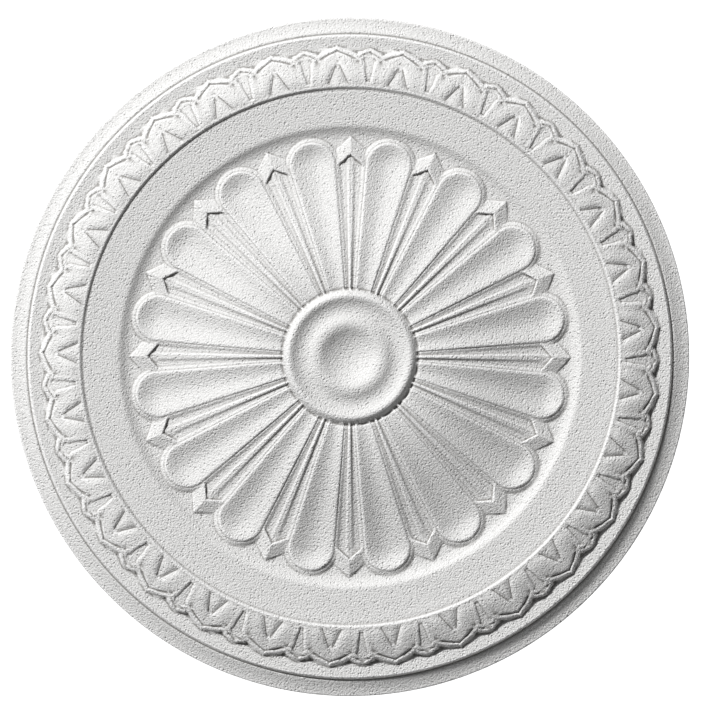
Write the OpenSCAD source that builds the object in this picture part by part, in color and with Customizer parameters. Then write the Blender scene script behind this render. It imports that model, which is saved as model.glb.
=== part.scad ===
// Ceiling rose moulded in one piece of rigid white foam.
// It lies on its flat back: the back is z = 0, the ornament faces +Z, and the origin is the
// centre of the back. Turned over, the back is what is glued to the ceiling.

/* [Whole rose] */
// Outer diameter
rose_d = 400; // [330:1:520]
// Height from the back to the highest ring of the boss
rose_h = 37; // [30:0.5:48]

/* [Stepped rim] */
// Height of the outer edge
edge_h = 5.3; // [3:0.1:7]
// Rounding of the outer edge
edge_round = 1.2; // [0.4:0.1:2]
// Width of the sloping ledge
ledge_w = 9.8; // [5:0.1:14]
// Rise of the sloping ledge
ledge_rise = 4.6; // [2:0.1:6]
// Width of the steep wall inside the ledge
wall_w = 1.4; // [1:0.1:5]
// Rise of the steep wall
wall_h = 1.6; // [1:0.1:6]
// Width of the flat band outside the leaf tips
band_w = 5.6; // [3:0.1:9]

/* [Leaf ring] */
// Number of big leaves, with as many small ones between them
leaf_count = 29; // [20:1:32]
// Turn of the leaf ring against the petals, in degrees
leaf_turn = 5.7; // [0:0.1:18]
// Length of a big leaf along the radius
leaf_len = 23.2; // [18:0.1:30]
// Space between two big leaves at their base
leaf_gap = 2.8; // [2:0.1:6]
// Length over which a big leaf runs to its point
leaf_point = 11.4; // [8:0.1:14]
// Height of a big leaf's tip above the flat band
leaf_tip_h = 1.6; // [0.8:0.1:2.4]
// Depth of the forked groove in a big leaf
fork_depth = 0.9; // [0.4:0.1:1.2]
// Length of the forked groove, from the base of the leaf
fork_len = 15; // [10:0.1:17]
// Width of the forked groove's opening at the base
fork_w = 11.8; // [8:0.1:14]
// How far a small leaf's tip stays behind a big one's
bud_back = 0.9; // [0:0.1:3]
// Full width of a small leaf
bud_w = 18; // [12:0.1:20]
// Length over which a small leaf runs to its point
bud_point = 7; // [4:0.1:9]
// Height of a small leaf's tip above the flat band
bud_tip_h = 1.1; // [0.6:0.1:1.5]
// Rise of the crest, where the leaves start, above the flat band
crest_rise = 9.2; // [6:0.1:11]
// Width of the crest inside the leaves
crest_w = 1.1; // [0.8:0.1:3]

/* [Flat ring] */
// Step down from the crest to the flat ring
step_h = 1.7; // [0.6:0.1:3]
// Width of that step
step_w = 1.9; // [0.6:0.1:3]
// Width of the flat ring
ring_w = 19.8; // [12:0.1:28]
// Width of the cove inside the flat ring
cove_w = 9; // [6:0.1:12]
// Drop of the cove to the floor around the petals
cove_h = 3.7; // [2:0.1:5]

/* [Petals and darts] */
// Number of petals, with as many darts between them
petal_count = 16; // [12:1:18]
// Space between the flat ring and the petals' round ends
petal_gap = 6; // [4:0.1:9]
// Space between two petals beside the boss
lane_in = 6.4; // [4.5:0.1:7.5]
// Space between two petals at their widest
lane_out = 13.6; // [10:0.1:17]
// Height of a petal's rim above the floor at its round end
petal_rise = 2.5; // [1.5:0.1:3.5]
// Depth of a petal's hollow beside the boss
hollow_in = 0.5; // [0.2:0.1:1]
// Depth of a petal's hollow near its round end
hollow_out = 2.8; // [1.5:0.1:3.2]
// Depth of the lanes between the petals, below the rims
lane_depth = 1.3; // [0.8:0.1:2]
// Height of the rib along a lane
rib_h = 0.7; // [0.3:0.1:1.1]
// Width of that rib beside the boss
rib_in = 2.2; // [1.5:0.1:3]
// Width of that rib at the dart
rib_out = 3.6; // [2.5:0.1:5]
// Width of a dart's head over its barbs
dart_w = 11.6; // [8:0.1:13]
// Length of a dart's head, from the barbs to the tip
dart_len = 16; // [12:0.1:20]
// Depth of the notch behind a dart's head
dart_notch = 5.4; // [3:0.1:8]
// Space between a dart's tip and the flat ring
dart_gap = 7.4; // [5:0.1:10]

/* [Boss] */
// Diameter of the boss at its foot
boss_d = 81.2; // [66:0.1:96]
// Height of the boss above the rims of the petals
boss_rise = 2.4; // [1.5:0.1:4]
// Width of the outer ring's outside slope
boss_side_w = 4.6; // [3:0.1:6]
// Width of the hollow ring, from crown to crown
boss_hollow_w = 16.6; // [10:0.1:20]
// Depth of the hollow ring
boss_hollow_h = 3; // [1:0.1:4]
// Drop of the inner crown below the outer one
boss_inner_drop = 0.7; // [0:0.1:1.5]
// Depth of the dish in the middle
dish_depth = 6.4; // [3:0.1:8]

/* [Hidden] */
$fn = 96;

// radii, from the edge inwards
rose_r = rose_d / 2;
wall_r = rose_r - ledge_w;
band_r = wall_r - wall_w;
leaf_tip_r = band_r - band_w;
leaf_base_r = leaf_tip_r - leaf_len;
crest_r = leaf_base_r - crest_w;
ring_out_r = crest_r - step_w;
ring_in_r = ring_out_r - ring_w;
cove_r = ring_in_r - cove_w;
boss_r = boss_d / 2;
boss_crown_r = boss_r - boss_side_w;
boss_valley_r = boss_crown_r - boss_hollow_w / 2;
dish_r = boss_crown_r - boss_hollow_w;

// heights, from the back upwards
band_z = edge_h + ledge_rise + wall_h;
crest_z = band_z + crest_rise;
ring_z = crest_z - step_h;
floor_z = ring_z - cove_h;
petal_end_z = floor_z + petal_rise;
dome_z = rose_h - boss_rise;

// the dome that the petals' rims follow
petal_pitch = 360 / petal_count;
petal_end_r = ring_in_r - petal_gap;
dome_flat_r = boss_r + 8;
dome_end_r = petal_end_r - 3;
// the body under the petals lies this far below the dome, so that the hollows stay clear of it
bed_depth = hollow_out + 0.8;

// the round end of a petal is an arc that just fits between its two lanes
half_sine = sin(petal_pitch / 2);
arc_mid_r = (petal_end_r + lane_out / 2) / (1 + half_sine);
arc_r = petal_end_r - arc_mid_r;
// the rim's crown runs at this share of the petal's half width
crown_share = 0.79;
// the petals and the lanes start this far inside the boss
boss_bite = 2.2;
// a lane reaches under the petals' outer slopes: it leaves out this share of their half width
lane_share = 0.94;

leaf_pitch = 360 / leaf_count;
leaf_half_w = leaf_base_r * sin(leaf_pitch / 2) - leaf_gap / 2;
// a leaf's edge rounds over outside this share of its half width
edge_share = 0.92;
// the two lobes of a big leaf are full at this share of its half width
lobe_share = 0.62;
// height of the lobes over a straight line from the crest to the tip
lobe_h = 0.5;
// the relief is sunk this far below what it stands on
sink = 0.5;

petal_rows = 5;
arc_rows = 5;
lane_rows = 5;

// a smooth step from 0 to 1, steepest at the share k of its length
function smooth(t, k = 0.5) = t < k ? t * t / k : 1 - pow(1 - t, 2) / (1 - k);
function clamp(t) = min(1, max(0, t));
function blend(a, b, t) = a + (b - a) * t;
function dome(r) =
    petal_end_z + (dome_z - petal_end_z) * smooth(clamp((dome_end_r - r) / (dome_end_r - dome_flat_r)));
function bed(r) = max(floor_z, dome(r) - bed_depth);
function cove(r) = floor_z + cove_h * smooth(clamp((r - cove_r) / cove_w), 0.75);
// a point at the radius r along +X and the distance y across it
function at(r, y, z) = [r, y, z];

// A closed solid under a grid of points: rows run across it, and its underside is flat.
module relief(rows, base_z) {
    n = len(rows);
    m = len(rows[0]);
    top = [for (row = rows) each row];
    under = [for (row = rows) each [[row[0][0], row[0][1], base_z], [row[m - 1][0], row[m - 1][1], base_z]]];
    left = n * m;
    surface = [for (i = [0:n - 2], j = [0:m - 2]) each [
        [i * m + j, i * m + j + 1, (i + 1) * m + j + 1],
        [i * m + j, (i + 1) * m + j + 1, (i + 1) * m + j]
    ]];
    sides = [for (i = [0:n - 2]) each [
        [i * m, (i + 1) * m, left + 2 * i + 2],
        [i * m, left + 2 * i + 2, left + 2 * i],
        [(i + 1) * m - 1, left + 2 * i + 1, left + 2 * i + 3],
        [(i + 1) * m - 1, left + 2 * i + 3, (i + 2) * m - 1],
        [left + 2 * i, left + 2 * i + 2, left + 2 * i + 3],
        [left + 2 * i, left + 2 * i + 3, left + 2 * i + 1]
    ]];
    last = left + 2 * n - 2;
    ends = [for (j = [0:m - 2]) each [
        [left, j + 1, j],
        [last, (n - 1) * m + j, (n - 1) * m + j + 1]
    ]];
    corners = [[left, left + 1, m - 1], [last, n * m - 1, last + 1]];
    polyhedron(points = concat(top, under), faces = concat(surface, sides, ends, corners));
}

// The turned body: rim, bed of the leaves, flat ring, cove, dome and boss.
module turned_body() {
    edge = [for (a = [0:30:60]) [
        rose_r - edge_round * (1 - cos(a)),
        edge_h - edge_round * (1 - sin(a))
    ]];
    rim = [[wall_r, edge_h + ledge_rise], [band_r, band_z]];
    leaf_bed = [
        [leaf_tip_r - leaf_point * 0.6, band_z],
        [leaf_base_r + sink, crest_z - 2 * sink],
        [leaf_base_r, crest_z],
        [crest_r, crest_z],
        [ring_out_r, ring_z]
    ];
    cove_line = [for (i = [6:-1:0]) let (r = cove_r + cove_w * i / 6) [r, cove(r)]];
    dome_line = [for (i = [1:12]) let (r = blend(cove_r, boss_r, i / 12)) [r, bed(r)]];
    side_line = [for (a = [0:18:90]) [
        boss_crown_r + boss_side_w * cos(a),
        rose_h - (boss_rise + lane_depth) * (1 - sin(a))
    ]];
    valley_z = rose_h - boss_hollow_h;
    inner_z = rose_h - boss_inner_drop;
    outer_slope = [for (i = [5:-1:0]) [
        blend(boss_valley_r, boss_crown_r, i / 6),
        blend(valley_z, rose_h, smooth(i / 6, 0.7))
    ]];
    inner_slope = [for (i = [1:6]) [
        blend(boss_valley_r, dish_r, i / 6),
        blend(valley_z, inner_z, smooth(i / 6))
    ]];
    dish_line = [for (i = [7:-1:0]) [dish_r * i / 8, inner_z - dish_depth * (1 - smooth(i / 8, 0.8))]];
    rotate_extrude()
        polygon(concat(
            [[0, 0], [rose_r, 0]], edge, rim, leaf_bed, cove_line,
            dome_line, side_line, outer_slope, inner_slope, dish_line
        ));
}

// Half the width of a petal at the radius r, and how far a point is out from its middle line:
// 0 on the middle, 1 on the outline.
function petal_half(r) =
    r < arc_mid_r
        ? r * half_sine - blend(lane_in, lane_out, (r - boss_r) / (arc_mid_r - boss_r)) / 2
        : sqrt(max(0, pow(arc_r, 2) - pow(r - arc_mid_r, 2)));
function petal_share(r, y) =
    r < arc_mid_r ? abs(y) / petal_half(r) : norm([r - arc_mid_r, y]) / arc_r;
function hollow(r) = blend(hollow_in, hollow_out, clamp((r - boss_r) / (arc_mid_r - boss_r)));
function petal_z(r, y) =
    let (t = petal_share(r, y))
    t > crown_share
        ? dome(r) - (petal_rise + sink) * smooth(clamp((t - crown_share) / (1 - crown_share)), 0.6)
        : dome(r) - hollow(r) * pow(sin(90 * (1 - t / crown_share)), 1.35);

// A spoon-shaped petal with a raised rim, lying along +X.
module petal() {
    straight = [for (i = [0:petal_rows]) blend(boss_r - boss_bite, arc_mid_r, i / petal_rows)];
    round_end = [for (i = [1:arc_rows]) arc_mid_r + arc_r * sin(84 * i / arc_rows)];
    shares = [-1, -crown_share, -0.45, 0, 0.45, crown_share, 1];
    relief(
        [for (r = concat(straight, round_end)) [for (s = shares)
            let (y = s * petal_half(r))
            at(r, y, petal_z(r, y))
        ]],
        floor_z - 6
    );
}

// The lane between two petals, with its rib. It runs out under the dart's head.
module lane() {
    end_r = ring_in_r - dart_gap - dart_len + dart_notch + 1;
    relief(
        [for (i = [0:lane_rows])
            let (
                t = min(1, i / (lane_rows - 1)),
                runout = i == lane_rows ? 1 : 0,
                r = blend(boss_r - boss_bite, end_r, t) + 1.6 * runout,
                side = r * half_sine - petal_half(min(r, arc_mid_r)) * lane_share,
                rib = blend(rib_in, rib_out, t) / 2,
                z = blend(dome(r) - lane_depth, floor_z - sink, runout),
                rib_z = z + rib_h * (1 - runout)
            )
            [at(r, -side, z), at(r, -rib, z), at(r, 0, rib_z), at(r, rib, z), at(r, side, z)]
        ],
        floor_z - 5
    );
}

// The arrow head at the outer end of a lane.
module dart() {
    tip_r = ring_in_r - dart_gap;
    barb_r = tip_r - dart_len;
    notch_r = barb_r + dart_notch;
    ridge_z = dome(notch_r) - lane_depth + rib_h + 0.4;
    barb_z = dome(barb_r) - lane_depth + 0.35;
    tip_z = floor_z + 0.9;
    base_z = floor_z - 4;
    plan = [[barb_r, -dart_w / 2], [tip_r, 0], [barb_r, dart_w / 2], [notch_r, 0]];
    heights = [barb_z, tip_z, barb_z, ridge_z];
    polyhedron(
        points = concat(
            [for (i = [0:3]) [plan[i][0], plan[i][1], heights[i]]],
            [for (p = plan) [p[0], p[1], base_z]]
        ),
        faces = [
            [0, 3, 1], [1, 3, 2], [4, 5, 7], [5, 6, 7],
            [0, 1, 5], [0, 5, 4], [1, 2, 6], [1, 6, 5],
            [2, 3, 7], [2, 7, 6], [3, 0, 4], [3, 4, 7]
        ]
    );
}

// A big leaf along +X: two full lobes with a forked groove between them.
module leaf() {
    slope = (crest_z + lobe_h - band_z - leaf_tip_h) / leaf_len;
    relief(
        [for (s = [leaf_len + 0.4, (leaf_point + leaf_len) / 2, leaf_point, leaf_len - fork_len, 4, 0.7])
            let (
                r = leaf_tip_r - s,
                half = leaf_half_w * sin(90 * min(1, s / leaf_point)),
                z = band_z + leaf_tip_h + slope * s,
                t = clamp((s - leaf_len + fork_len) / fork_len),
                fork = max(half * 0.12, fork_w / 2 * t),
                dip = fork_depth * sin(180 * clamp(0.12 + t * 0.8)),
                wall = leaf_tip_h + sink + (z - band_z - leaf_tip_h) * 0.5
            )
            [
                at(r, -half, z - wall), at(r, -half * edge_share, z - 0.3), at(r, -half * lobe_share, z),
                at(r, -fork, z - dip), at(r, 0, z - dip * 0.7), at(r, fork, z - dip),
                at(r, half * lobe_share, z), at(r, half * edge_share, z - 0.3), at(r, half, z - wall)
            ]
        ],
        band_z - 3
    );
}

// A small leaf along +X, which shows between two big ones.
module bud() {
    tip_r = leaf_tip_r - bud_back;
    length = leaf_len - bud_back;
    slope = (crest_z - band_z - bud_tip_h) / length;
    relief(
        [for (s = [length + 0.2, bud_point, bud_point / 2, 0.6])
            let (
                r = tip_r - s,
                half = bud_w / 2 * sin(90 * min(1, s / bud_point)),
                z = band_z + bud_tip_h + slope * s
            )
            [
                at(r, -half, z - bud_tip_h - sink), at(r, -half * edge_share, z - 0.3), at(r, 0, z),
                at(r, half * edge_share, z - 0.3), at(r, half, z - bud_tip_h - sink)
            ]
        ],
        band_z - 2
    );
}

module ceiling_rose() {
    color("whitesmoke")
    union() {
        turned_body();
        for (k = [0:petal_count - 1]) {
            rotate(petal_pitch * (k + 0.5)) petal();
            rotate(petal_pitch * k) {
                lane();
                dart();
            }
        }
        for (k = [0:leaf_count - 1]) {
            rotate(leaf_turn + leaf_pitch * k) leaf();
            rotate(leaf_turn + leaf_pitch * (k + 0.5)) bud();
        }
    }
}

ceiling_rose();
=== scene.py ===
import math
import bpy
import numpy as np
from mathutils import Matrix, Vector


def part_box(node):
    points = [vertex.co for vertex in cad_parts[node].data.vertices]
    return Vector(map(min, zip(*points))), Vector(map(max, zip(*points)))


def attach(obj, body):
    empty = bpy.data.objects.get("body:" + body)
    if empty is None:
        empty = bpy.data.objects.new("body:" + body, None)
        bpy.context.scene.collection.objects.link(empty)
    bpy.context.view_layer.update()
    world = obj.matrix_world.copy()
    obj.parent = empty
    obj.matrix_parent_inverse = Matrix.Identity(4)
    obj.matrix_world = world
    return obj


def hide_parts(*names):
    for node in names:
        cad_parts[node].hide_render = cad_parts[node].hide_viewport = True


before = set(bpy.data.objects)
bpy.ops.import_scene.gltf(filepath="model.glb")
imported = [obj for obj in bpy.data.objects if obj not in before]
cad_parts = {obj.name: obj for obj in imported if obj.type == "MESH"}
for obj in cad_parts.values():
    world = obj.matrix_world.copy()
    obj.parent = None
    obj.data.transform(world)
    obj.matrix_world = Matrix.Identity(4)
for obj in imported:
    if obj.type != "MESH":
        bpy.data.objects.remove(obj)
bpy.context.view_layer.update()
print("frame loaded")

# the whole moulding in millimetres: heights are from the back, radii from the middle
rose = {
    "diameter": 400.0,
    "height": 37.0,
    "edgeHeight": 5.3,
    "edgeRound": 1.2,
    "slopeRadius": 190.2,       # inner end of the hollow slope behind the edge
    "slopeRise": 4.6,
    "wallRadius": 188.8,        # top of the low wall
    "bandHeight": 11.5,
    "ringHeight": 19.0,
    "ringOuter": 157.4,
    "ringInner": 137.2,
    "floorHeight": 15.4,
    "coveRadius": 127.6,
    "coveTurn": 0.72,           # where the cove's curve changes from hollow to round
    "crestHeight": 20.8,
    "crestRadius": 160.0,
}

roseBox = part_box("ceiling_rose")
mm = (roseBox[1].x - roseBox[0].x) / rose["diameter"]


def smooth(t, k=0.5):
    # from 0 to 1, hollow up to k and round beyond it
    t = np.clip(t, 0, 1)
    return np.where(t < k, t * t / k, 1 - (1 - t) ** 2 / (1 - k))


def sCurve(t):
    t = np.clip(t, 0, 1)
    return t * t * (3 - 2 * t)


def fade(x, width):
    # from 0 to 1 over the width, with 0.5 at x = 0
    return sCurve(x / width + 0.5)


def blend(a, b, t):
    return a + (b - a) * t


def ramp(x, width):
    # 0 below 0 and x above it, rounded over the width
    return 0.5 * (x + np.sqrt(x * x + width * width))


def softMax(a, b, width):
    return b + ramp(a - b, width)


def softMin(a, b, width):
    return a - ramp(a - b, width)


def bump(x, width):
    return np.exp(-(x / width) ** 2)


# boss in the middle
boss = {
    "foot": 40.0,
    "crown": 36.0,
    "crownTurn": 0.7,
    "valley": 27.7,
    "hollow": 3.0,              # depth of the valley under the crown
    "dishEdge": 19.4,
    "dishDepth": 6.4,
    "dishTurn": 0.8,
    "innerDrop": 0.7,           # the dish's edge under the crown
    "sideDrop": 4.0,
    "sideCurve": 1.5,
    "grooveDepth": 0.7,         # groove round the foot
    "grooveOut": 0.4,
    "grooveWidth": 0.8,
    "footRound": 0.25,
    "footRun": 3.0,             # how far out from the foot the boss still counts
}


def bossHeight(r):
    top = rose["height"]
    valleyZ = top - boss["hollow"]
    innerZ = top - boss["innerDrop"]
    half = boss["crown"] - boss["valley"]
    dish = innerZ - boss["dishDepth"] * (1 - smooth(r / boss["dishEdge"], boss["dishTurn"]))
    inner = blend(valleyZ, innerZ, smooth((boss["valley"] - r) / half))
    outer = blend(valleyZ, top, smooth((r - boss["valley"]) / half, boss["crownTurn"]))
    t = np.maximum(0, r - boss["crown"]) / (boss["foot"] - boss["crown"])
    side = top - boss["sideDrop"] * t ** boss["sideCurve"]
    z = np.where(r < boss["dishEdge"], dish, inner)
    z = np.where(r > boss["valley"], outer, z)
    return np.where(r > boss["crown"], side, z)


# petals, the lanes between them and the darts
petals = {
    "count": 16,
    "start": 30.0,              # nothing of a petal shows nearer the middle
    "endRadius": 131.2,         # outer foot of a petal's round end
    "end": 131.6,               # beyond this radius there is only the cove
    "endHeight": 18.3,
    "domeRise": 16.3,
    "domeInner": 44.0,
    "domeOuter": 124.0,
    "domeCurve": 0.88,
    "crownSlope": 0.1104,       # half width of a petal's crown line against the radius
    "hollowIn": 1.0,            # depth of the hollow within the crown line, at the boss and at the end
    "hollowOut": 3.0,
    "hollowCurve": 1.3,
    "sideCurve": 0.15,          # 0 would make a petal's side straight
    "rimLine": 0.45,
    "rimLinePlace": 0.3,
    "rimLineWidth": 0.4,
    "leastHalf": 0.5,           # so that nothing is divided by 0
}
lanes = {
    "widthIn": 3.6,             # width between two petals, at the boss and at their widest
    "widthOut": 12.2,
    "widthCurve": 1.25,
    "shareMost": 1.1,           # the lane deepens a little way past the middle of the round ends
    "dropIn": 1.05,
    "dropOut": 1.95,
    "fallStart": 118.0,
    "fallRun": 8.0,
    "coveRound": 0.3,
    "ribHeight": 1.2,
    "ribSlope": 0.026,          # half width of the rib against the radius
    "ribFlat": 0.25,            # flat top and side of the rib, as shares of its half width
    "ribSide": 0.85,
    "ribEnd": 119.0,
    "ribEndRun": 2.5,
    "ribGroove": 0.3,
    "ribGrooveWidth": 0.6,
    "ribGrooveStart": 60.0,
    "ribGrooveRun": 30.0,
}
dart = {
    "tip": 129.8,
    "notch": 119.2,
    "top": 19.4,
    "topRound": 0.5,
    "shoulderSlope": 0.88,
    "backSlope": 0.85,
    "edgeWidth": 0.6,
    "fallStart": 120.4,
    "fall": 0.3,
    "tilt": 0.33,
}
petalPitch = 2 * math.pi / petals["count"]
halfPetal = petalPitch / 2
halfSine = math.sin(halfPetal)
arcMid = (petals["endRadius"] + lanes["widthOut"] / 2) / (1 + halfSine)
arcRadius = petals["endRadius"] - arcMid


def domeHeight(r):
    t = np.clip((petals["domeOuter"] - r) / (petals["domeOuter"] - petals["domeInner"]), 0, 1)
    return petals["endHeight"] + petals["domeRise"] * sCurve(t ** petals["domeCurve"])


def coveHeight(r):
    rise = rose["ringHeight"] - rose["floorHeight"]
    width = rose["ringInner"] - rose["coveRadius"]
    return rose["floorHeight"] + rise * smooth((r - rose["coveRadius"]) / width, rose["coveTurn"])


def laneShare(r):
    # 0 at the boss and 1 at the middle of the petals' round ends
    return np.clip((r - boss["foot"]) / (arcMid - boss["foot"]), 0, lanes["shareMost"])


def laneHalf(r):
    return blend(lanes["widthIn"], lanes["widthOut"], laneShare(r) ** lanes["widthCurve"]) / 2


def petalHalf(x):
    return x * halfSine - laneHalf(x)


def laneHeight(r, crown):
    # a flat floor below the petals' crowns, which runs out into the cove
    drop = blend(lanes["dropIn"], lanes["dropOut"], laneShare(r))
    drop = drop + sCurve((r - lanes["fallStart"]) / lanes["fallRun"])
    return softMax(crown - drop, coveHeight(r), lanes["coveRound"])


def ribHeight(r, across):
    # a rib along the lane, with a groove along its top
    half = lanes["ribSlope"] * r
    rib = lanes["ribHeight"] * (1 - sCurve((across - half * lanes["ribFlat"]) / (half * lanes["ribSide"])))
    grooveOn = np.clip((r - lanes["ribGrooveStart"]) / lanes["ribGrooveRun"], 0, 1)
    rib = rib - lanes["ribGroove"] * grooveOn * bump(across, lanes["ribGrooveWidth"])
    return rib * (1 - sCurve((r - lanes["ribEnd"]) / lanes["ribEndRun"]))


def withDart(field, along, across):
    # the dart's head stands up out of the lane at its outer end
    fall = dart["fall"] * (along - dart["fallStart"])
    head = softMin(dart["top"], dart["top"] - fall - dart["tilt"] * across, dart["topRound"])
    back = (along - dart["notch"] + dart["backSlope"] * across) / math.hypot(1, dart["backSlope"])
    front = (dart["tip"] - dart["shoulderSlope"] * across - along) / math.hypot(1, dart["shoulderSlope"])
    inside = fade(np.minimum(back, front), dart["edgeWidth"])
    return field + inside * np.maximum(head - field, 0)


def petalsHeight(r, angle):
    # angle 0 is a lane's middle line, and px and py are measured along and across the nearest petal
    px = r * np.cos(halfPetal - np.abs(angle))
    py = np.abs(r * np.sin(halfPetal - np.abs(angle)))
    straight = px < arcMid
    size = np.where(straight, np.maximum(petalHalf(px), petals["leastHalf"]), arcRadius)
    share = np.where(straight, py, np.hypot(px - arcMid, py)) / size
    crown = domeHeight(r)
    crownShare = petals["crownSlope"] * np.minimum(px, arcMid) / size
    depth = blend(petals["hollowIn"], petals["hollowOut"], laneShare(r))
    inward = np.clip(1 - share / crownShare, 0, 1)
    hollow = crown - depth * np.sin(inward * math.pi / 2) ** petals["hollowCurve"]
    # the outer side falls from the crown to the lane, with an incised line near the top
    outward = np.clip((share - crownShare) / (1 - crownShare), 0, 1)
    curve = petals["sideCurve"]
    z = blend(crown, laneHeight(r, crown), outward * (1 - curve + curve * outward))
    fromLine = (outward - petals["rimLinePlace"]) * (1 - crownShare) * size
    z = z - petals["rimLine"] * bump(fromLine, petals["rimLineWidth"])
    z = np.where(share < crownShare, hollow, z)
    along = r * np.cos(angle)
    across = np.abs(r * np.sin(angle))
    z = withDart(z + ribHeight(r, across), along, across)
    return z - boss["grooveDepth"] * bump(r - boss["foot"] - boss["grooveOut"], boss["grooveWidth"])


# big and small leaves round the crest
leaves = {
    "count": 29,
    "turn": math.radians(5.7),
    "end": 184.6,               # beyond this radius there is only the plain rim
    "slope": 0.44,
    "tipHeight": 1.35,
    "topRound": 1.6,
    "edgeDrop": 0.45,           # a leaf's top is rounded down at its outline
    "edgeWidth": 1.3,
    "sideSlope": 2.38,
    "sideRound": 0.35,
    "joinRound": 0.12,
    "footRound": 0.15,
    "rimLine": 1.1,             # depth of the line that runs inside a leaf's outline
}
bigLeaf = {
    "tip": 183.4,
    "pointLength": 11.4,
    "halfWidth": 16.1,
    "rimWidth": 2.9,
    "lineWidth": 0.6,
    "forkTop": 174.8,
    "forkBase": 160.5,
    "forkHalf": 5.9,
    "forkLean": 0.925,          # cosine of the angle between the fork and the leaf's axis
    "forkLine": 1.0,
    "forkLineWidth": 0.45,
    "forkPast": 0.6,            # the fork's line fades out past its top
    "forkTopRun": 1.6,
    "forkBaseRun": 1.4,
    "forkDrop": 0.35,
    "forkDropWidth": 0.8,
    "lobe": 0.3,
    "lobeStart": 161.0,
    "lobeRun": 3.0,
    "leastLobe": 1.0,
}
smallLeaf = {
    "tip": 182.3,
    "pointLength": 7.2,
    "halfWidth": 9.2,
    "rimWidth": 2.5,
    "lineWidth": 0.55,
    "lower": 0.15,              # its top is a little under the big leaf's
    "rise": 0.25,
    "riseStart": 172.0,
    "riseRun": 6.0,
    "troughDepth": 1.0,
    "troughIn": 1.3,            # half width of the trough, at the crest and at its widest
    "troughOut": 4.4,
    "troughStart": 163.0,
    "troughRun": 12.0,
    "troughClose": 174.5,
    "troughCloseRun": 5.0,
    "troughCloseCurve": 0.6,
    "troughEdge": 0.9,
    "slotStart": 161.6,
    "slotRun": 1.2,
}
leafPitch = 2 * math.pi / leaves["count"]
halfLeaf = leafPitch / 2


def leafTop(r):
    line = rose["bandHeight"] + leaves["tipHeight"] + leaves["slope"] * (bigLeaf["tip"] - r)
    return softMin(line, rose["crestHeight"], leaves["topRound"])


def leafHalf(x, leaf):
    s = np.clip((leaf["tip"] - x) / leaf["pointLength"], 0, 1)
    return leaf["halfWidth"] * np.sin(s * math.pi / 2)


def insideOutline(x, y, leaf):
    # distance inside the leaf's outline, less than 0 outside it
    step = 0.2
    slope = (leafHalf(x + step, leaf) - leafHalf(x - step, leaf)) / (2 * step)
    d = (leafHalf(x, leaf) - y) / np.sqrt(1 + slope * slope)
    return np.where(x > leaf["tip"], -np.hypot(x - leaf["tip"], y), d)


def rimmedTop(top, d, leaf):
    z = top - leaves["edgeDrop"] * (1 - sCurve(d / leaves["edgeWidth"]))
    return z - leaves["rimLine"] * bump(d - leaf["rimWidth"], leaf["lineWidth"])


def leafSide(z, d):
    return z - leaves["sideSlope"] * ramp(-d, leaves["sideRound"])


def bigLeafHeight(r, a):
    x = r * np.cos(a)
    y = r * np.sin(a)
    d = insideOutline(x, y, bigLeaf)
    z = rimmedTop(leafTop(r), d, bigLeaf)
    # two raised lobes between the fork and the rim
    forkT = np.maximum(0, bigLeaf["forkTop"] - x) / (bigLeaf["forkTop"] - bigLeaf["forkBase"])
    forkY = bigLeaf["forkHalf"] * forkT
    lobeMid = (forkY + leafHalf(x, bigLeaf) - bigLeaf["rimWidth"]) / 2
    lobeHalf = np.maximum(lobeMid - forkY, bigLeaf["leastLobe"])
    lobe = bigLeaf["lobe"] * np.cos(np.clip((y - lobeMid) / lobeHalf, -1, 1) * math.pi / 2) ** 2
    z = z + lobe * sCurve((x - bigLeaf["lobeStart"]) / bigLeaf["lobeRun"]) * (d > 0)
    # the fork's line, and the lower leaf inside it
    topOn = sCurve((bigLeaf["forkTop"] + bigLeaf["forkPast"] - x) / bigLeaf["forkTopRun"])
    forkOn = topOn * sCurve((x - rose["crestRadius"]) / bigLeaf["forkBaseRun"])
    fork = (y - forkY) * bigLeaf["forkLean"]
    z = z - forkOn * bigLeaf["forkLine"] * bump(fork, bigLeaf["forkLineWidth"])
    within = 1 - fade(fork, bigLeaf["forkDropWidth"])
    z = z - forkOn * bigLeaf["forkDrop"] * within * np.sqrt(np.sin(np.minimum(forkT, 1) * math.pi))
    return leafSide(z, d)


def smallLeafHeight(r, a):
    # a small leaf between two big ones, with a trough along it that closes towards the tip
    x = r * np.cos(halfLeaf - a)
    y = np.abs(r * np.sin(halfLeaf - a))
    d = insideOutline(x, y, smallLeaf)
    rise = smallLeaf["rise"] * sCurve((r - smallLeaf["riseStart"]) / smallLeaf["riseRun"])
    z = rimmedTop(leafTop(r) - smallLeaf["lower"] + rise, d, smallLeaf)
    opening = sCurve((r - smallLeaf["troughStart"]) / smallLeaf["troughRun"])
    closing = np.clip(1 - (r - smallLeaf["troughClose"]) / smallLeaf["troughCloseRun"], 0, 1)
    half = blend(smallLeaf["troughIn"], smallLeaf["troughOut"], opening)
    half = half * closing ** smallLeaf["troughCloseCurve"]
    trough = smallLeaf["troughDepth"] * (1 - fade(y - half, smallLeaf["troughEdge"]))
    z = z - trough * sCurve((r - smallLeaf["slotStart"]) / smallLeaf["slotRun"])
    return leafSide(z, d)


def leavesHeight(r, angle):
    # angle 0 is a big leaf's axis
    a = np.abs(angle)
    z = softMax(bigLeafHeight(r, a), smallLeafHeight(r, a), leaves["joinRound"])
    return softMax(z, rose["bandHeight"], leaves["footRound"])


# flat ring with its faint raised outer edge, and the step up to the crest
ring = {
    "stepTurn": 0.35,
    "beadHeight": 0.12,
    "beadRadius": 155.4,
    "beadWidth": 1.6,
}


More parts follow.
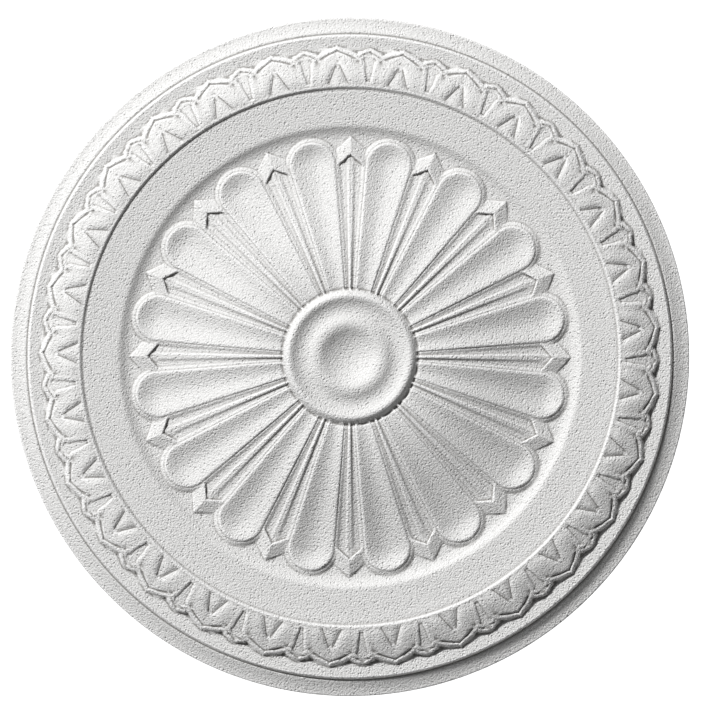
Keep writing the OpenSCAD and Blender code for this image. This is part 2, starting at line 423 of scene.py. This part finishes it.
def ringHeight(r):
    rise = rose["crestHeight"] - rose["ringHeight"]
    width = rose["crestRadius"] - rose["ringOuter"]
    z = rose["ringHeight"] + rise * smooth((r - rose["ringOuter"]) / width, ring["stepTurn"])
    return z + ring["beadHeight"] * bump(r - ring["beadRadius"], ring["beadWidth"])


# band, low wall, hollow slope and rounded edge
rim = {
    "slopeStart": 0.4,          # steepness of the hollow slope at its outer end, 1 for a straight one
    "wallTurn": 0.6,
    "grooveDepth": 0.7,         # groove at the foot of the wall
    "grooveOut": 0.3,
    "grooveWidth": 0.45,
}


def rimHeight(r):
    outer = rose["diameter"] / 2 - rose["edgeRound"]
    t = np.clip((outer - r) / (outer - rose["slopeRadius"]), 0, 1)
    slope = rose["edgeHeight"] + rose["slopeRise"] * (rim["slopeStart"] * t + (1 - rim["slopeStart"]) * t * t)
    down = np.clip((r - outer) / rose["edgeRound"], 0, 1)
    edge = rose["edgeHeight"] - rose["edgeRound"] * (1 - np.sqrt(1 - down * down))
    wallT = (rose["slopeRadius"] - r) / (rose["slopeRadius"] - rose["wallRadius"])
    slopeTop = rose["edgeHeight"] + rose["slopeRise"]
    wall = slopeTop + (rose["bandHeight"] - slopeTop) * smooth(wallT, rim["wallTurn"])
    z = np.where(r > outer, edge, slope)
    z = np.where(r < rose["slopeRadius"], wall, z)
    return z - rim["grooveDepth"] * bump(r - rose["slopeRadius"] - rim["grooveOut"], rim["grooveWidth"])


def fold(angle, pitch):
    return (angle + pitch / 2) % pitch - pitch / 2


def roseHeight(r, angle):
    middle = bossHeight(r)
    field = petalsHeight(np.maximum(r, petals["start"]), fold(angle, petalPitch))
    z = np.where(r > boss["crown"], softMax(middle, field, boss["footRound"]), middle)
    z = np.where(r > boss["foot"] + boss["footRun"], field, z)
    z = np.where(r > petals["end"], coveHeight(r), z)
    z = np.where(r > rose["ringInner"], ringHeight(r), z)
    leafZ = leavesHeight(r, fold(angle - leaves["turn"], leafPitch))
    z = np.where(r > rose["crestRadius"], np.minimum(leafZ, rose["crestHeight"]), z)
    return np.where(r > leaves["end"], rimHeight(r), z)


# how far a point lies under the surface round it, which drives painted shade in the creases and a painted
# highlight on the edges
crease = {
    "reach": 1.1,
    "directions": 8,
    "leastRadius": 2.0,
}


def cavityAt(r, angle):
    around = 0
    for k in range(crease["directions"]):
        turn = 2 * math.pi * k / crease["directions"]
        dr = crease["reach"] * math.cos(turn)
        da = crease["reach"] * math.sin(turn) / np.maximum(r, crease["leastRadius"])
        around = around + roseHeight(np.abs(r + dr), angle + da)
    return around / crease["directions"] - roseHeight(r, angle)



# the mesh is closed rings of points, from the middle of the face to the middle of the back
radii = []
angles = []
heights = []
faces = []
points = {                      # points in each circle
    "middle": 48,
    "dish": 96,
    "boss": 192,
    "ring": 288,
    "rim": 240,
    "back": 72,
}


def addRing(r, angle, z=None):
    start = len(radii)
    radii.extend(r)
    angles.extend(angle)
    heights.extend(roseHeight(r, angle) if z is None else z)
    return list(range(start, len(radii)))


def circle(r, count, z=None):
    turns = 2 * math.pi * np.arange(count) / count
    return addRing(np.full(count, r), turns, None if z is None else np.full(count, z))


def cellRing(row, count, start):
    # a half cell from its axis to its edge, mirrored and repeated round the rose
    r = np.array([p[0] for p in row])
    a = np.array([p[1] for p in row])
    r = np.concatenate([r, r[-2:0:-1]])
    a = np.concatenate([a, 2 * a[-1] - a[-2:0:-1]])
    pitch = 2 * math.pi / count
    turns = np.concatenate([start + k * pitch + a for k in range(count)])
    return addRing(np.tile(r, count), turns)


def joinRings(inner, outer):
    n = len(inner)
    for i in range(n):
        j = (i + 1) % n
        faces.append((inner[i], outer[i], outer[j], inner[j]))


def zipRings(inner, outer):
    # joins two rings with different numbers of points
    ia = np.array([angles[k] for k in inner]) % (2 * math.pi)
    oa = np.array([angles[k] for k in outer]) % (2 * math.pi)
    innerOrder = np.argsort(ia, kind="stable")
    outerOrder = np.argsort(oa, kind="stable")
    inner = [inner[k] for k in innerOrder]
    outer = [outer[k] for k in outerOrder]
    ia = list(ia[innerOrder]) + [ia.min() + 2 * math.pi]
    oa = list(oa[outerOrder]) + [oa.min() + 2 * math.pi]
    n = len(inner)
    m = len(outer)
    i = 0
    j = 0
    while i < n or j < m:
        if i < n and (j >= m or ia[i + 1] <= oa[j + 1]):
            faces.append((inner[i], outer[j % m], inner[(i + 1) % n]))
            i += 1
        else:
            faces.append((inner[i % n], outer[j], outer[(j + 1) % m]))
            j += 1


def addRings(last, rings):
    for ringPoints in rings:
        if len(ringPoints) == len(last):
            joinRings(last, ringPoints)
        else:
            zipRings(last, ringPoints)
        last = ringPoints
    return last


def closeRing(edge, z, facesUp):
    # a fan of triangles from a point in the middle
    centre = len(radii)
    radii.append(0.0)
    angles.append(0.0)
    heights.append(z)
    for i in range(len(edge)):
        a = edge[i]
        b = edge[(i + 1) % len(edge)]
        faces.append((centre, a, b) if facesUp else (a, centre, b))


# boss: circles, closer together at the dish's edge, the crown and the foot
firstRadius = 1.6
dishRadii = [3.5, 5.5, 7.5, 9.5]
bossRadii = [11.5, 13.0, 14.4, 15.8, 17.0, 18.0, 18.8, 19.4, 20.0, 20.8, 21.8, 22.9, 24.1, 25.4, 26.6,
             27.7, 28.9, 30.1, 31.3, 32.5, 33.6, 34.6, 35.4, 36.1, 36.8, 37.5, 38.1, 38.7, 39.2]
last = circle(firstRadius, points["middle"])
closeRing(last, float(roseHeight(np.zeros(1), np.zeros(1))[0]), True)
last = addRings(last, [circle(r, points["dish"]) for r in dishRadii])
last = addRings(last, [circle(r, points["boss"]) for r in bossRadii])

# petals and lanes: angle 0 is a lane's middle line, and the columns follow the petals' outlines
fieldGrid = {
    "footRadii": [39.7, 40.2, 40.7, 41.3, 42.0, 42.8],
    "rowStart": 44.0,
    "split": 111.8,             # the lane's columns follow the dart beyond this radius
    "dartStart": 112.5,
    "innerRows": 24,
    "dartRows": 27,
    "laneColumns": [0, 0.1, 0.22, 0.34, 0.46, 0.6, 0.8, 1.0],
    "petalColumns": [0.97, 0.93, 0.89, 0.86, 0.83, 0.79, 0.75, 0.68, 0.58, 0.45, 0.3, 0.15, 0.0],
    "dartColumns": (4, 6, 6),   # before, on and beyond the dart's head
    "backLimits": (0.12, 0.8),  # limits that keep the columns apart, as shares of the lane
    "headLeast": 0.06,
    "frontMost": 0.9,
    "edgeGap": 0.3,
    "edgeGapMost": 0.025,
    "endLeast": 0.35,
    "footMost": 0.93,
    "arcGap": 0.2,
    "endGap": 0.25,
}


def between(x, limits, size):
    return min(max(x, limits[0] * size), limits[1] * size)


def laneKnots(r, foot):
    # the columns' places across the lane, on each side of the dart's edges
    back = between((dart["notch"] - r) / dart["backSlope"], fieldGrid["backLimits"], foot)
    front = max((dart["tip"] - r) / dart["shoulderSlope"], back + fieldGrid["headLeast"] * foot)
    front = min(front, fieldGrid["frontMost"] * foot)
    e = min(fieldGrid["edgeGap"], fieldGrid["edgeGapMost"] * foot)
    before, on, beyond = fieldGrid["dartColumns"]
    parts = [
        np.linspace(0, back - e, before),
        np.linspace(back + e, front - e, on),
        np.linspace(front + e, foot, beyond),
    ]
    return np.concatenate(parts)


def sideFoot(r):
    # where the circle of this radius meets a petal's side, as an angle from the lane's middle line
    rounds = 4
    px = r * math.cos(halfPetal)
    for _ in range(rounds):
        py = petalHalf(px)
        px = math.sqrt(r * r - py * py)
    return halfPetal - math.atan2(py, px)


def arcAngle(r, size):
    # the same for an arc round the middle of a petal's end, as an angle from the petal's middle line
    c = (r * r + arcMid * arcMid - size * size) / (2 * r * arcMid)
    return math.acos(min(1.0, c))


def fieldRow(r, foot, lane):
    row = [(r, float(a)) for a in lane]
    half = halfPetal - foot
    for s in fieldGrid["petalColumns"]:
        away = half * s
        if r > arcMid:
            # kept apart where this circle misses the arc
            away = max(arcAngle(r, s * arcRadius), fieldGrid["endLeast"] * half * s)
            away = min(away, half * (1 + s) / 2)
        row.append((r, halfPetal - away))
    return row


def innerRing(r):
    foot = sideFoot(r)
    return cellRing(fieldRow(r, foot, np.array(fieldGrid["laneColumns"]) * foot), petals["count"], 0.0)


def dartRing(r):
    if r < arcMid - fieldGrid["arcGap"]:
        foot = sideFoot(r)
    else:
        foot = halfPetal - arcAngle(min(r, petals["endRadius"] - fieldGrid["endGap"]), arcRadius)
    foot = min(foot, halfPetal * fieldGrid["footMost"])
    return cellRing(fieldRow(r, foot, laneKnots(r, foot * r) / r), petals["count"], 0.0)


innerRadii = np.linspace(fieldGrid["rowStart"], fieldGrid["split"], fieldGrid["innerRows"])
dartRadii = np.linspace(fieldGrid["dartStart"], petals["end"], fieldGrid["dartRows"])
last = addRings(last, [innerRing(r) for r in np.concatenate([fieldGrid["footRadii"], innerRadii])])
last = addRings(last, [dartRing(r) for r in dartRadii])
print("petals laid out", len(radii))

# cove, flat ring and crest
coveRadii = [132.5, 133.5, 134.5, 135.4, 136.2, 136.9, 137.6, 139.5, 143.0, 147.0, 151.0, 153.2,
             154.4, 155.2, 155.9, 156.5, 157.1, 157.7, 158.3, 158.9, 159.5, 160.1]
last = addRings(last, [circle(r, points["ring"]) for r in coveRadii])

# leaves: angle 0 is a big leaf's axis, and the columns follow its fork, its rim and its outline
leafGrid = {
    "outline": (0.14, 0.93),    # limits that keep the columns apart, as shares of the space
    "rim": (0.4, 0.88),
    "fork": (0.12, 0.5),
    "smallIn": 0.3,
    "smallOut": 0.45,
    "smallLine": 0.2,
    "beside": 0.5,              # to the next column on each side of a line
    "besideMost": 0.05,
    "smallBeside": 0.4,
    "smallBesideMost": 0.08,
    "innerColumns": 4,
    "rimColumns": 3,
}


def edgeAngle(r, leaf, inset):
    # where the circle of this radius meets a line this far inside a leaf's outline
    step = 0.1
    rounds = 8
    x = r
    y = 0.0
    for _ in range(rounds):
        slope = float(leafHalf(x - step, leaf) - leafHalf(x + step, leaf)) / (2 * step)
        y = max(float(leafHalf(x, leaf)) - inset * math.hypot(1, slope), 0.0)
        x = (x + math.sqrt(r * r - y * y)) / 2
    return math.asin(y / r)


def leafRow(r):
    outline = between(edgeAngle(r, bigLeaf, 0.0), leafGrid["outline"], halfLeaf)
    inside = between(edgeAngle(r, bigLeaf, bigLeaf["rimWidth"]), leafGrid["rim"], outline)
    forkT = (bigLeaf["forkTop"] - r) / (bigLeaf["forkTop"] - bigLeaf["forkBase"])
    fork = between(bigLeaf["forkHalf"] * forkT / r, leafGrid["fork"], outline)
    e = min(leafGrid["beside"] / r, leafGrid["besideMost"] * outline)
    # the small leaf's outline and line, in the gap between the big leaf and the next one
    gap = halfLeaf - outline
    small = max(halfLeaf - edgeAngle(r, smallLeaf, 0.0), outline + leafGrid["smallIn"] * gap)
    small = min(small, halfLeaf - leafGrid["smallOut"] * gap)
    line = halfLeaf - edgeAngle(r, smallLeaf, smallLeaf["rimWidth"])
    line = max(line, small + leafGrid["smallLine"] * gap)
    line = min(line, halfLeaf - leafGrid["smallLine"] * gap)
    f = min(leafGrid["smallBeside"] / r, leafGrid["smallBesideMost"] * gap)
    parts = [
        [0, fork - e, fork],
        np.linspace(fork + e, inside - e, leafGrid["innerColumns"]),
        [inside],
        np.linspace(inside + e, outline - e, leafGrid["rimColumns"]),
        [outline, outline + f, (outline + small) / 2, small - f, small, small + f],
        [line - f, line, line + f, halfLeaf],
    ]
    return [(r, float(a)) for a in np.concatenate(parts)]


lobeRadii = np.linspace(160.7, 171.6, 12)
tipRadii = np.linspace(172.4, leaves["end"], 19)
leafRadii = np.concatenate([lobeRadii, tipRadii])
last = addRings(last, [cellRing(leafRow(r), leaves["count"], leaves["turn"]) for r in leafRadii])
print("leaves laid out", len(radii))

# rim, side and back
rimRadii = [186.5, 188.2, 188.7, 188.95, 189.2, 189.5, 189.8, 190.0, 190.25, 190.5, 190.75, 191.0,
            191.9, 193.0, 194.4, 195.8, 197.2, 198.3, 198.8, 199.2, 199.55, 199.8, 199.95, 200.0]
sideRings = [(200.0, 1.2), (199.9, 0.35), (199.5, 0.0)]     # radius and height
backRadii = [180.0, 130.0, 80.0, 30.0]
last = addRings(last, [circle(r, points["rim"]) for r in rimRadii])
faceCount = len(radii)
last = addRings(last, [circle(r, points["rim"], z) for r, z in sideRings])
last = addRings(last, [circle(r, points["back"], 0.0) for r in backRadii])
closeRing(last, 0.0, False)

radius = np.array(radii)
angle = np.array(angles)
height = np.array(heights)
cavity = cavityAt(radius, angle)
cavity[faceCount:] = 0          # the side and the back have no creases
origin = Vector(((roseBox[0].x + roseBox[1].x) / 2, (roseBox[0].y + roseBox[1].y) / 2, roseBox[0].z))
places = np.stack([radius * np.cos(angle) * mm + origin.x, radius * np.sin(angle) * mm + origin.y,
                   height * mm + origin.z], axis=1)
mesh = bpy.data.meshes.new("ceilingRose")
mesh.from_pydata(places.tolist(), [], faces)
mesh.polygons.foreach_set("use_smooth", [True] * len(mesh.polygons))
layer = mesh.attributes.new("cavity", "FLOAT", "POINT")
layer.data.foreach_set("value", cavity.astype(np.float32))
mesh.validate()
mesh.update()
piece = bpy.data.objects.new("ceilingRoseFoam", mesh)
bpy.context.scene.collection.objects.link(piece)
print("mesh made", len(mesh.vertices), sum(len(p.vertices) - 2 for p in mesh.polygons))

# moulded foam: a fine grain with pits, with painted shade in the creases and a painted highlight on the edges
foam = {
    "tone": (0.86, 0.855, 0.845, 1.0),
    "shade": (0.78, 0.775, 0.765, 1.0),
    "toneRange": (0.34, 0.52),          # of the grain, from shade to tone
    # painted highlight: colour blended into the foam on raised edges
    "edge": (0.95, 0.945, 0.94, 1.0),
    "edgeHighlightRange": (-0.05, -0.3),         # of the cavity, in millimetres
    # painted shade: colour multiplied into the foam in the creases
    "creaseShadeTone": (0.42, 0.41, 0.40, 1.0),
    "creaseShadeRange": (0.02, 0.45),
    "creaseShadeStrength": 0.95,
    "grainScale": 950.0,
    "grainDetail": 3.0,
    "grainRoughness": 0.62,
    "pitScale": 430.0,
    "pitRange": (0.08, 0.32),
    "pitDepth": 0.4,
    "roughRange": (0.3, 0.7),
    "roughness": (0.92, 0.78),
    "specular": 0.25,
    "bumpStrength": 1.0,
    "bumpDistance": 0.0012,
}


def mapRange(tree, source, fromRange, toRange=(0.0, 1.0)):
    node = tree.nodes.new("ShaderNodeMapRange")
    node.inputs["From Min"].default_value = fromRange[0]
    node.inputs["From Max"].default_value = fromRange[1]
    node.inputs["To Min"].default_value = toRange[0]
    node.inputs["To Max"].default_value = toRange[1]
    tree.links.new(source, node.inputs["Value"])
    return node.outputs["Result"]


def makeFoamGroup():
    group = bpy.data.node_groups.new("foamSurface", "ShaderNodeTree")
    group.interface.new_socket("Grain Scale", in_out="INPUT", socket_type="NodeSocketFloat")
    group.interface.new_socket("Pit Scale", in_out="INPUT", socket_type="NodeSocketFloat")
    group.interface.new_socket("Height", in_out="OUTPUT", socket_type="NodeSocketFloat")
    group.interface.new_socket("Tone", in_out="OUTPUT", socket_type="NodeSocketFloat")
    nodes = group.nodes
    links = group.links
    groupIn = nodes.new("NodeGroupInput")
    groupOut = nodes.new("NodeGroupOutput")
    coords = nodes.new("ShaderNodeTexCoord")
    grain = nodes.new("ShaderNodeTexNoise")
    grain.inputs["Detail"].default_value = foam["grainDetail"]
    grain.inputs["Roughness"].default_value = foam["grainRoughness"]
    pits = nodes.new("ShaderNodeTexVoronoi")
    links.new(coords.outputs["Object"], grain.inputs["Vector"])
    links.new(coords.outputs["Object"], pits.inputs["Vector"])
    links.new(groupIn.outputs["Grain Scale"], grain.inputs["Scale"])
    links.new(groupIn.outputs["Pit Scale"], pits.inputs["Scale"])
    heightSum = nodes.new("ShaderNodeMath")
    heightSum.operation = "MULTIPLY_ADD"
    heightSum.inputs[1].default_value = foam["pitDepth"]
    links.new(mapRange(group, pits.outputs["Distance"], foam["pitRange"]), heightSum.inputs[0])
    links.new(grain.outputs["Fac"], heightSum.inputs[2])
    links.new(heightSum.outputs["Value"], groupOut.inputs["Height"])
    links.new(grain.outputs["Fac"], groupOut.inputs["Tone"])
    return group


def foamMaterial():
    material = bpy.data.materials.new("foam")
    material.use_nodes = True
    tree = material.node_tree
    nodes = tree.nodes
    links = tree.links
    shader = nodes["Principled BSDF"]
    surface = nodes.new("ShaderNodeGroup")
    surface.node_tree = makeFoamGroup()
    surface.inputs["Grain Scale"].default_value = foam["grainScale"]
    surface.inputs["Pit Scale"].default_value = foam["pitScale"]
    cavityNode = nodes.new("ShaderNodeAttribute")
    cavityNode.attribute_name = "cavity"
    toneMix = nodes.new("ShaderNodeMixRGB")
    toneMix.inputs["Color1"].default_value = foam["shade"]
    toneMix.inputs["Color2"].default_value = foam["tone"]
    links.new(mapRange(tree, surface.outputs["Tone"], foam["toneRange"]), toneMix.inputs["Fac"])
    creaseShadeFactor = mapRange(tree, cavityNode.outputs["Fac"], foam["creaseShadeRange"], (0.0, foam["creaseShadeStrength"]))
    # painted shade: the foam is darkened where the surface lies in a crease
    creaseShadeMix = nodes.new("ShaderNodeMixRGB")
    creaseShadeMix.blend_type = "MULTIPLY"
    creaseShadeMix.inputs["Color2"].default_value = foam["creaseShadeTone"]
    links.new(creaseShadeFactor, creaseShadeMix.inputs["Fac"])
    links.new(toneMix.outputs["Color"], creaseShadeMix.inputs["Color1"])
    # painted highlight: the foam is lightened where the surface stands out as an edge
    edgeHighlightMix = nodes.new("ShaderNodeMixRGB")
    edgeHighlightMix.inputs["Color2"].default_value = foam["edge"]
    links.new(mapRange(tree, cavityNode.outputs["Fac"], foam["edgeHighlightRange"]), edgeHighlightMix.inputs["Fac"])
    links.new(creaseShadeMix.outputs["Color"], edgeHighlightMix.inputs["Color1"])
    links.new(edgeHighlightMix.outputs["Color"], shader.inputs["Base Color"])
    rough = mapRange(tree, surface.outputs["Tone"], foam["roughRange"], foam["roughness"])
    links.new(rough, shader.inputs["Roughness"])
    shader.inputs["Specular IOR Level"].default_value = foam["specular"]
    relief = nodes.new("ShaderNodeBump")
    relief.inputs["Strength"].default_value = foam["bumpStrength"]
    relief.inputs["Distance"].default_value = foam["bumpDistance"]
    links.new(surface.outputs["Height"], relief.inputs["Height"])
    links.new(relief.outputs["Normal"], shader.inputs["Normal"])
    return material


mesh.materials.append(foamMaterial())
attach(piece, "root")
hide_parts("ceiling_rose")
print("foam material made")

# stage: pale floor, soft key light from the upper left, faint fill
stage = {
    "floorDrop": 0.9,
    "floorSize": 80.0,
    "floorTone": (0.93, 0.93, 0.93, 1.0),
    "floorRoughness": 0.9,
    "floorGlow": 0.35,
    "white": (1.0, 1.0, 1.0, 1.0),
    "keyTurn": -42.5,
    "keyLift": 38.7,
    "keyPower": 4.1,
    "keySpread": 5.0,
    "fill": 0.1,
    "cameraHeight": 1.0,
    "frameWidth": 0.4266,
    "frameX": 0.00716,
    "frameY": -0.00309,
    "roll": 0.2,
}
bpy.ops.mesh.primitive_plane_add(size=stage["floorSize"], location=(0, 0, -stage["floorDrop"]))
floor = bpy.context.object
floor.name = "floor"
floorMaterial = bpy.data.materials.new("paleFloor")
floorMaterial.use_nodes = True
floorShader = floorMaterial.node_tree.nodes["Principled BSDF"]
floorShader.inputs["Base Color"].default_value = stage["floorTone"]
floorShader.inputs["Roughness"].default_value = stage["floorRoughness"]
floorShader.inputs["Emission Color"].default_value = stage["white"]
floorShader.inputs["Emission Strength"].default_value = stage["floorGlow"]
floor.data.materials.append(floorMaterial)

keyData = bpy.data.lights.new("key", "SUN")
keyData.energy = stage["keyPower"]
keyData.angle = math.radians(stage["keySpread"])
key = bpy.data.objects.new("key", keyData)
turn = math.radians(stage["keyTurn"])
lift = math.radians(stage["keyLift"])
toLight = Vector((math.sin(turn) * math.cos(lift), math.cos(turn) * math.cos(lift), math.sin(lift)))
key.rotation_mode = "QUATERNION"
key.rotation_quaternion = toLight.to_track_quat("Z", "Y")
bpy.context.scene.collection.objects.link(key)

world = bpy.data.worlds.new("studio")
world.use_nodes = True
backdrop = world.node_tree.nodes["Background"]
backdrop.inputs["Color"].default_value = stage["white"]
backdrop.inputs["Strength"].default_value = stage["fill"]
bpy.context.scene.world = world

cameraData = bpy.data.cameras.new("camera")
cameraData.type = "ORTHO"
cameraData.ortho_scale = stage["frameWidth"]
camera = bpy.data.objects.new("camera", cameraData)
camera.location = (stage["frameX"], stage["frameY"], stage["cameraHeight"])
camera.rotation_euler = (0, 0, math.radians(stage["roll"]))
bpy.context.scene.collection.objects.link(camera)
bpy.context.scene.camera = camera
bpy.context.scene.view_settings.view_transform = "Standard"
print("stage made")
